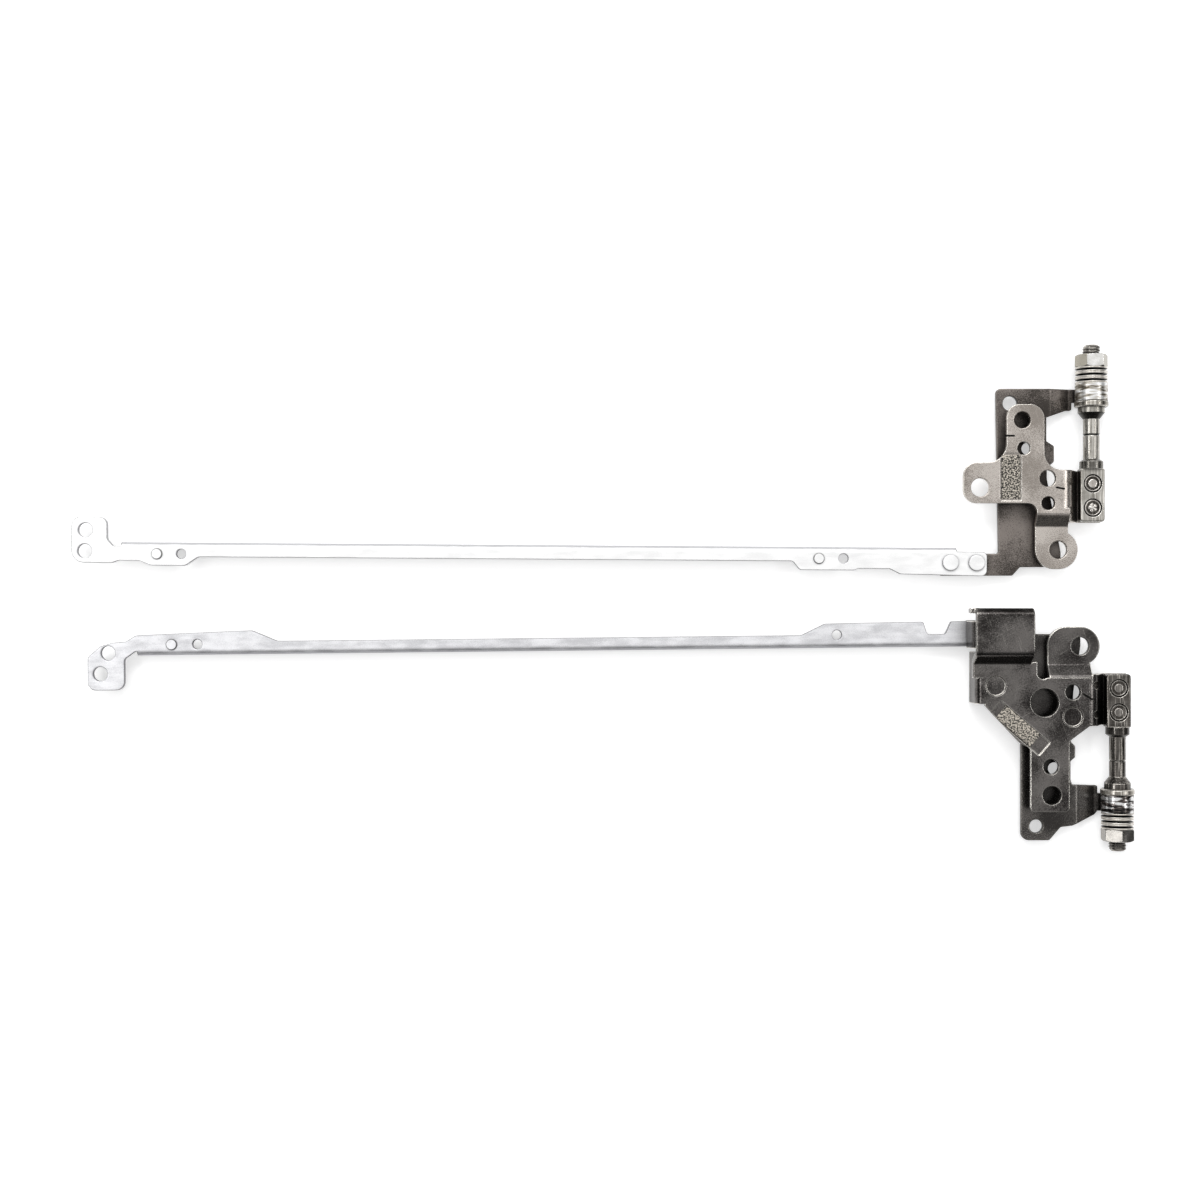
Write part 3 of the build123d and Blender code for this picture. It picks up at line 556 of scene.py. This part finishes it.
def thread_ridge(side, way, material):
    """The thread on a shaft's tip: one closed helix."""
    form = bmesh.new()
    turns = (THREAD_END - THREAD_START) / THREAD_PITCH - 1
    last = round(turns * STEPS_ROUND)
    profile = (
        (THREAD_ROOT, 0.0),
        (THREAD_CREST, (1 - CREST_SHARE) / 2),
        (THREAD_CREST, (1 + CREST_SHARE) / 2),
        (THREAD_ROOT, 1.0),
    )
    loops = []
    for number in range(last + 1):
        angle = 2 * math.pi * number / STEPS_ROUND
        run_out = min(1.0, number / RUN_OUT_STEPS, (last - number) / RUN_OUT_STEPS)
        rise = max(run_out, RUN_OUT_LOWEST)
        start = THREAD_START + THREAD_PITCH * number / STEPS_ROUND
        loop = []
        for radius, share in profile:
            reach = THREAD_ROOT + (radius - THREAD_ROOT) * rise
            x = AXIS_X[side] + reach * math.cos(angle)
            y = way * (FACE_Y + start + share * THREAD_PITCH)
            z = AXIS_HEIGHT + reach * math.sin(angle)
            loop.append(form.verts.new((x, y, z)))
        loops.append(loop)
    for low, high in zip(loops, loops[1:]):
        band(form, low, high)
    form.faces.new(loops[0])
    form.faces.new(loops[-1])
    name = f"{side}_shaft_thread"
    new_piece(name, form, material, f"{side}_base_leaf", THREAD_SHARP)


thread_steel = turned_steel(
    "oiled_thread_steel", THREAD_STEEL, roughness=0.3, darkest=0.2, wear=0.2
)
thread_ridge("left", 1, thread_steel)
thread_ridge("right", -1, thread_steel)

# A hardened stop washer sits between each shaft's collar and the knuckle, and six cupped
# spring washers press on the knuckle's other side. Painted shade darkens the gaps between
# them.
WASHER_STEEL = ((0.15, 0.135, 0.115, 1), (0.48, 0.45, 0.4, 1), (0.85, 0.82, 0.77, 1))
SPRING_STEEL = ((0.3, 0.275, 0.235, 1), (0.6, 0.56, 0.5, 1), (0.85, 0.82, 0.77, 1))
SPRING_COUNT = 6

washer_steel = turned_steel("washer_steel", WASHER_STEEL, roughness=0.28)
spring_steel = turned_steel("spring_steel", SPRING_STEEL, roughness=0.38, darkest=0.08)
for side in ("left", "right"):
    springs = [f"{side}_disc_spring_{n}" for n in range(1, SPRING_COUNT + 1)]
    dress(washer_steel, "washer_steel", f"{side}_stop_washer")
    dress(spring_steel, "spring_steel", *springs)

# A nickel-plated hexagon nut holds each stack of springs pressed. The left one is bright, with
# painted beige shade on its sides, and the right one is satin grey. Chips show the dark steel.
LEFT_NICKEL = ((0.7, 0.69, 0.66, 1), (0.9, 0.89, 0.87, 1), (0.7, 0.69, 0.66, 1))
RIGHT_NICKEL = ((0.24, 0.23, 0.215, 1), (0.36, 0.345, 0.325, 1), (0.5, 0.485, 0.46, 1))
# Painted shade on the nuts' sides, beige and deep on the left one, faint on the right one.
LEFT_NUT_SIDE_SHADE = (0.42, 0.4, 0.35, 1)
RIGHT_NUT_SIDE_SHADE = (0.85, 0.83, 0.8, 1)
BARE_STEEL = (0.12, 0.11, 0.1, 1)
NICKEL_CLOUD = 2.2 * MM
NICKEL_STOPS = (0.38, 0.62)
NICKEL_SPECKLE = 0.25 * MM
NICKEL_SPECKLE_DEPTH = 0.012 * MM
CHIP_WIDTH = 0.8 * MM
CHIP_STOPS = ((0.68, 0.0), (0.72, 0.9))
CHIP_SWIRL = 0.6
NUT_RIM = 0.16 * MM
NUT_GAP_REACH = 1.5 * MM
NUT_GAP_SHADE = 0.3
NUT_SIDE_LEAN = (0.6, 0.95)
NUT_METALLIC = 0.85
NUT_ROUGHNESS = ((0.35, 0.16), (0.65, 0.3))


def nut_plating(name, plating, painted_side_shade):
    """Nickel with soft clouds, painted shade on the sides, and chips that show the steel."""
    dark, light, rim = plating
    material, tree, shader = new_finish(name)
    clouds = grain(tree, NICKEL_CLOUD, detail=3)
    fine = grain(tree, NICKEL_SPECKLE, detail=2)
    colour = tones(tree, clouds, zip(NICKEL_STOPS, (dark, light)))
    chips = grain(tree, CHIP_WIDTH, detail=4, swirl=CHIP_SWIRL)
    colour = over(tree, tones(tree, chips, CHIP_STOPS), colour, BARE_STEEL)
    colour, rounded = painted_rims(tree, colour, rim, NUT_RIM)
    colour = shaded(tree, colour, NUT_GAP_REACH, NUT_GAP_SHADE)
    colour = over(tree, leaning(tree, *NUT_SIDE_LEAN), colour, painted_side_shade, "MULTIPLY")
    finish_metal(tree, shader, colour, NUT_METALLIC, clouds, NUT_ROUGHNESS)
    raise_grain(tree, shader, fine, NICKEL_SPECKLE_DEPTH, rounded)
    return material


left_nickel = nut_plating("left_nut_nickel", LEFT_NICKEL, LEFT_NUT_SIDE_SHADE)
right_nickel = nut_plating("right_nut_nickel", RIGHT_NICKEL, RIGHT_NUT_SIDE_SHADE)
dress(left_nickel, "nut_nickel", "left_nut")
dress(right_nickel, "nut_nickel", "right_nut")


# Each base bracket is stamped from steel sheet, bent down to the tab under the shaft's block
# and nickel plated: satin and warm on the left hinge, black and glossy on the right one.
LEFT_BASE_TONES = ((0.3, 0.268, 0.24, 1), (0.56, 0.515, 0.475, 1), (0.86, 0.82, 0.76, 1))
RIGHT_BASE_TONES = ((0.02, 0.018, 0.017, 1), (0.15, 0.14, 0.133, 1), (0.72, 0.69, 0.64, 1))
BASE_SHADE_REACH = 1.5 * MM
BASE_DARKEST = 0.6

left_base_plating = plate(
    "left_base_satin_nickel",
    LEFT_BASE_TONES,
    reach=BASE_SHADE_REACH,
    darkest=BASE_DARKEST,
    rim_width=0.26 * MM,
    metallic=1.0,
    roughness=0.28,
)
right_base_plating = plate(
    "right_base_dark_nickel",
    RIGHT_BASE_TONES,
    reach=BASE_SHADE_REACH,
    darkest=BASE_DARKEST,
    rim_width=0.42 * MM,
    metallic=0.95,
    roughness=0.18,
)
dress(left_base_plating, "left_bracket", "left_base_bracket")
dress(right_base_plating, "right_bracket", "right_base_bracket")

# Two short lines are scribed into the left plate and one into the right plate, beside the
# riser. They are shallow grooves filled with dark oil.
SCRIBE_HALF_WIDTH = 0.2 * MM
SCRIBE_DEPTH = 0.05 * MM
SCRIBE_PROUD = 0.006 * MM
PLATE_TOP = 6.35 * MM
SCRIBED = {
    "left_scribed_line_1": ("left", ((-16.9, -7.5), (-18.6, -7.5))),
    "left_scribed_line_2": ("left", ((-8.1, -18.3), (-6.4, -18.6))),
    "right_scribed_line": ("right", ((-8.0, -21.35), (-6.1, -20.2))),
}
SCRIBE_OIL = ((0.004, 0.004, 0.004, 1), (0.008, 0.008, 0.007, 1), (0.012, 0.011, 0.01, 1))


def scribed_line(name, side, ends, material):
    """A groove with pointed ends between two places on a plate's top."""
    way = 1 if side == "left" else -1
    near, far = (
        Vector((AXIS_X[side] + u * MM, way * (FACE_Y + v * MM), PLATE_TOP)) for u, v in ends
    )
    along = (far - near).normalized()
    across = Vector((-along.y, along.x, 0)) * SCRIBE_HALF_WIDTH
    form = bmesh.new()
    outline = (near - along * SCRIBE_HALF_WIDTH, near + across, far + across)
    outline += (far + along * SCRIBE_HALF_WIDTH, far - across, near - across)
    top = [form.verts.new(corner + Vector((0, 0, SCRIBE_PROUD))) for corner in outline]
    bottom = [form.verts.new(corner - Vector((0, 0, SCRIBE_DEPTH))) for corner in outline]
    form.faces.new(top)
    form.faces.new(bottom)
    band(form, top, bottom)
    new_piece(name, form, material, f"{side}_base_leaf")


scribe_finish = turned_steel("scribed_line_oil", SCRIBE_OIL, roughness=0.5, wear=0.0)
for name, (side, ends) in SCRIBED.items():
    scribed_line(name, side, ends, scribe_finish)

# Two steel rivets join each block to its tab. Their heads are spun down inside the block's
# counterbores: the press leaves a bright ring and a low button on each oily head, and a
# rough star on the left hinge's second one.
OILED_STEEL = ((0.015, 0.013, 0.011, 1), (0.09, 0.08, 0.07, 1), (0.3, 0.28, 0.25, 1))
LEFT_SPUN_STEEL = ((0.16, 0.14, 0.125, 1), (0.55, 0.51, 0.47, 1), (0.9, 0.87, 0.82, 1))
RIGHT_SPUN_STEEL = ((0.05, 0.045, 0.04, 1), (0.2, 0.185, 0.17, 1), (0.6, 0.57, 0.53, 1))
HEAD_STEPS = 64
HEAD_SINK = -0.03
HEAD_SHARP = math.pi
SPUN_RING = (
    (1.72, HEAD_SINK),
    (1.68, 0.08),
    (1.56, 0.125),
    (1.42, 0.1),
    (1.36, HEAD_SINK),
)
SPUN_BUTTON = (
    (1.02, HEAD_SINK),
    (0.98, 0.06),
    (0.85, 0.1),
    (0.6, 0.1),
    (0.3, 0.07),
    (0.1, 0.05),
)
STAR_POINTS = 5
STAR_DEPTH = 0.12


def spun_rings(form, middle, level, profile, star=False):
    """Rings of corners about a rivet's middle, one for each (radius, height) in mm."""
    rings = []
    for radius, height in profile:
        ring = []
        for number in range(HEAD_STEPS):
            angle = 2 * math.pi * number / HEAD_STEPS
            press = max(0.0, math.cos(STAR_POINTS * angle)) * radius if star else 0.0
            x = middle[0] + radius * MM * math.cos(angle)
            y = middle[1] + radius * MM * math.sin(angle)
            rise = max(height - STAR_DEPTH * press, HEAD_SINK)
            ring.append(form.verts.new((x, y, level + rise * MM)))
        rings.append(ring)
    for outer, inner in zip(rings, rings[1:]):
        band(form, outer, inner)
    return rings


def spun_head(side, rivet, material, star):
    """The ring and the button that the press leaves on a rivet's head."""
    low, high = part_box(f"{side}_shaft_rivet_{rivet}")
    middle = ((low[0] + high[0]) / 2, (low[1] + high[1]) / 2)
    form = bmesh.new()
    rings = spun_rings(form, middle, high[2], SPUN_RING)
    band(form, rings[-1], rings[0])
    rings = spun_rings(form, middle, high[2], SPUN_BUTTON, star)
    form.faces.new(rings[0])
    form.faces.new(rings[-1])
    name = f"{side}_spun_head_{rivet}"
    new_piece(name, form, material, f"{side}_base_leaf", HEAD_SHARP)


oiled_steel = turned_steel("oiled_rivet_steel", OILED_STEEL, roughness=0.3, darkest=0.15)
for side, metal in (("left", LEFT_SPUN_STEEL), ("right", RIGHT_SPUN_STEEL)):
    spun_steel = turned_steel(f"{side}_spun_rivet_steel", metal, roughness=0.25, darkest=0.2)
    for rivet in (1, 2):
        dress(oiled_steel, "rivet_steel", f"{side}_shaft_rivet_{rivet}")
        spun_head(side, rivet, spun_steel, side == "left" and rivet == 2)

# A pad of conductive cloth over foam is stuck in the coined pocket of each base bracket. The
# weave is speckled light and dark, and the pad's top is softly crowned between its sides.
PAD_CELLS = 24
PAD_EDGE = 0.16
PAD_SHOULDER = 0.62
PAD_CROWN = 0.33
PAD_LUMP = 0.035 * MM
PAD_WAVES = ((2.1, 1.3), (0.9, -2.7))
PAD_INSET = 0.04 * MM
PAD_SHARP = math.radians(50)
LEFT_CLOTH = ((0.43, 0.01), (0.5, 0.12), (0.57, 0.72))
RIGHT_CLOTH = ((0.42, 0.02), (0.49, 0.2), (0.57, 0.7))
CLOTH_TINT = (0.82, 0.75, 0.64, 1)
CLOTH_SHADE_REACH = 1 * MM
CLOTH_DARKEST = 0.3
CLOTH_ROUGHNESS = 0.8
CLOTH_SHEEN = 0.2
THREAD_WIDTH = 0.31 * MM
THREAD_SHARE = 0.75
WEAVE_WIDTH = 0.12 * MM
WEAVE_DEPTH = 0.06 * MM
WEAVE_STRENGTH = 0.6
PADS = {
    "left": ((9.2 * MM, 4.0 * MM), math.radians(90), LEFT_CLOTH),
    "right": ((9.5 * MM, 3.4 * MM), math.radians(40.7), RIGHT_CLOTH),
}


def cloth(name, stops):
    """Speckled conductive cloth: coarse threads, light and dark, with matt bumps."""
    material, tree, shader = new_finish(name)
    threads = grain(tree, THREAD_WIDTH, detail=1)
    weave = sums(tree, "MULTIPLY", grain(tree, WEAVE_WIDTH, detail=1), 1 - THREAD_SHARE)
    speckle = sums(tree, "MULTIPLY_ADD", threads, THREAD_SHARE, weave)
    colour = over(tree, 1.0, tones(tree, speckle, stops), CLOTH_TINT, "MULTIPLY")
    colour = shaded(tree, colour, CLOTH_SHADE_REACH, CLOTH_DARKEST)
    tree.links.new(colour, shader.inputs["Base Color"])
    shader.inputs["Roughness"].default_value = CLOTH_ROUGHNESS
    shader.inputs["Sheen Weight"].default_value = CLOTH_SHEEN
    joins = {"Height": speckle, "Strength": WEAVE_STRENGTH, "Distance": WEAVE_DEPTH}
    tree.links.new(step(tree, "Bump", joins).outputs["Normal"], shader.inputs["Normal"])
    return material


def pad_rise(i, j, s, t):
    """Height share and lump of a pad's top: s and t run from -1 to 1 between its sides."""
    rim = min(1.0, (1 - max(abs(s), abs(t))) / PAD_EDGE)
    lump = PAD_LUMP * rim
    for along_wave, across_wave in PAD_WAVES:
        lump *= math.sin(i * along_wave + j * across_wave)
    return PAD_SHOULDER + PAD_CROWN * math.sin(rim * math.pi / 2), lump


def cloth_pad(side, way):
    """A closed pad with a crowned, lumpy top, inside the room of its plain solid."""
    (length, width), turn, stops = PADS[side]
    low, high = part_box(f"{side}_ground_pad")
    floor, roof = low[2], high[2]
    turn *= way
    along = Vector((math.cos(turn), math.sin(turn))) * (length / 2 - PAD_INSET)
    across = Vector((-math.sin(turn), math.cos(turn))) * (width / 2 - PAD_INSET)
    centre = Vector(((low[0] + high[0]) / 2, (low[1] + high[1]) / 2))
    form = bmesh.new()
    long_cells = PAD_CELLS * 2
    rows = []
    for i in range(long_cells + 1):
        row = []
        for j in range(PAD_CELLS + 1):
            s, t = 2 * i / long_cells - 1, 2 * j / PAD_CELLS - 1
            share, lump = pad_rise(i, j, s, t)
            place = centre + along * s + across * t
            z = min(floor + (roof - floor) * share + lump, roof)
            row.append(form.verts.new((place.x, place.y, z)))
        rows.append(row)
    for low_row, high_row in zip(rows, rows[1:]):
        for j in range(PAD_CELLS):
            form.faces.new((low_row[j], high_row[j], high_row[j + 1], low_row[j + 1]))
    border = rows[0] + [row[-1] for row in rows[1:]]
    border += rows[-1][-2::-1] + [row[0] for row in rows[-2:0:-1]]
    foot = [form.verts.new((corner.co.x, corner.co.y, floor)) for corner in border]
    band(form, border, foot)
    form.faces.new(foot)
    name, finish = f"{side}_cloth_pad", cloth(f"{side}_pad_cloth", stops)
    pad = new_piece(name, form, finish, f"{side}_base_leaf", PAD_SHARP)
    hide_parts(f"{side}_ground_pad")


cloth_pad("left", 1)
cloth_pad("right", -1)
